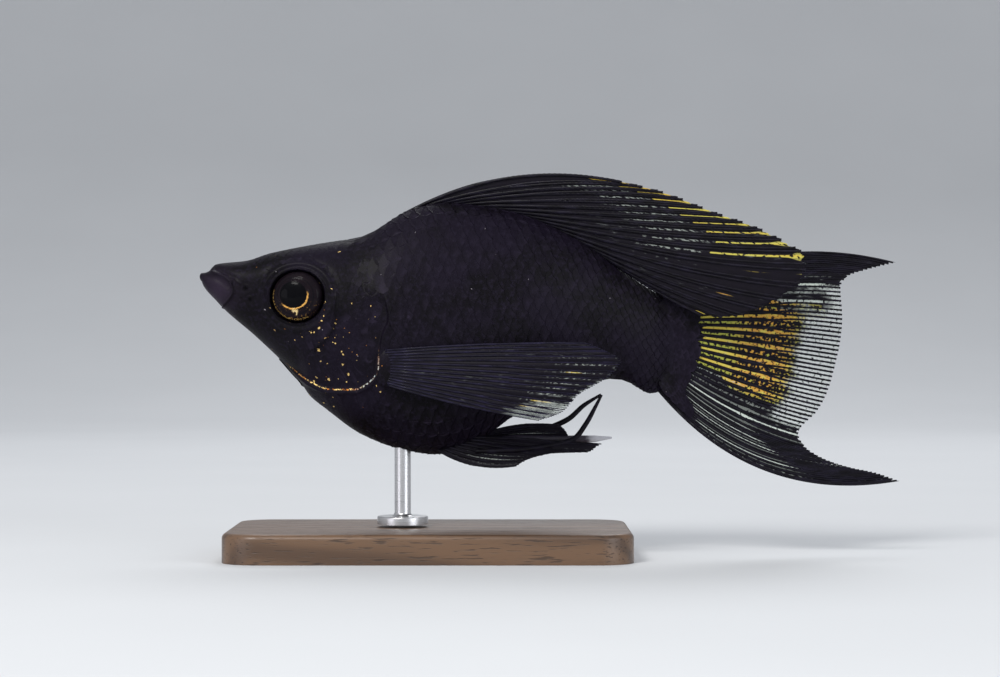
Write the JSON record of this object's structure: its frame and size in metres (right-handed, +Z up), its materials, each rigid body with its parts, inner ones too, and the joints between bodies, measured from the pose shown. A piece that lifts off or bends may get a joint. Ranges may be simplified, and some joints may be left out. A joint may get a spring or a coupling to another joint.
{
  "type": "black lyretail shortfin molly on a display stand",
  "caption": "Life-size still model of a male black lyretail molly, swimming level with folded dorsal fin and lyre tail, held on a rod over a flat base.",
  "frame": {"origin": "middle of the underside of the stand's base", "axes": "+X from the head towards the tail, -Y out of the fish's left side, +Z up"},
  "size_m": [0.0779, 0.026, 0.0421],
  "materials": {
    "skin": "near-black scaled skin with a faint purple sheen",
    "fin": "black rays and thin dark membrane",
    "tail_fin": "black rays with a golden membrane between them",
    "eye": "glossy dark eye with a golden ring",
    "stand_wood": "oiled walnut",
    "stand_steel": "satin"
  },
  "bodies": {
    "root": {"head": "skin", "jaw": "skin", "gill_cover_left": "skin", "gill_cover_right": "skin", "torso": "skin", "tail_stalk": "skin", "fin_dorsal": "fin", "fin_caudal": "tail_fin", "fin_pectoral_left": "fin", "fin_pectoral_right": "fin", "fin_pelvic_left": "fin", "fin_pelvic_right": "fin", "gonopodium": "fin", "eye_left": "eye", "eye_right": "eye", "stand_base": "stand_wood", "stand_rod": "stand_steel"}
  },
  "joints": []
}
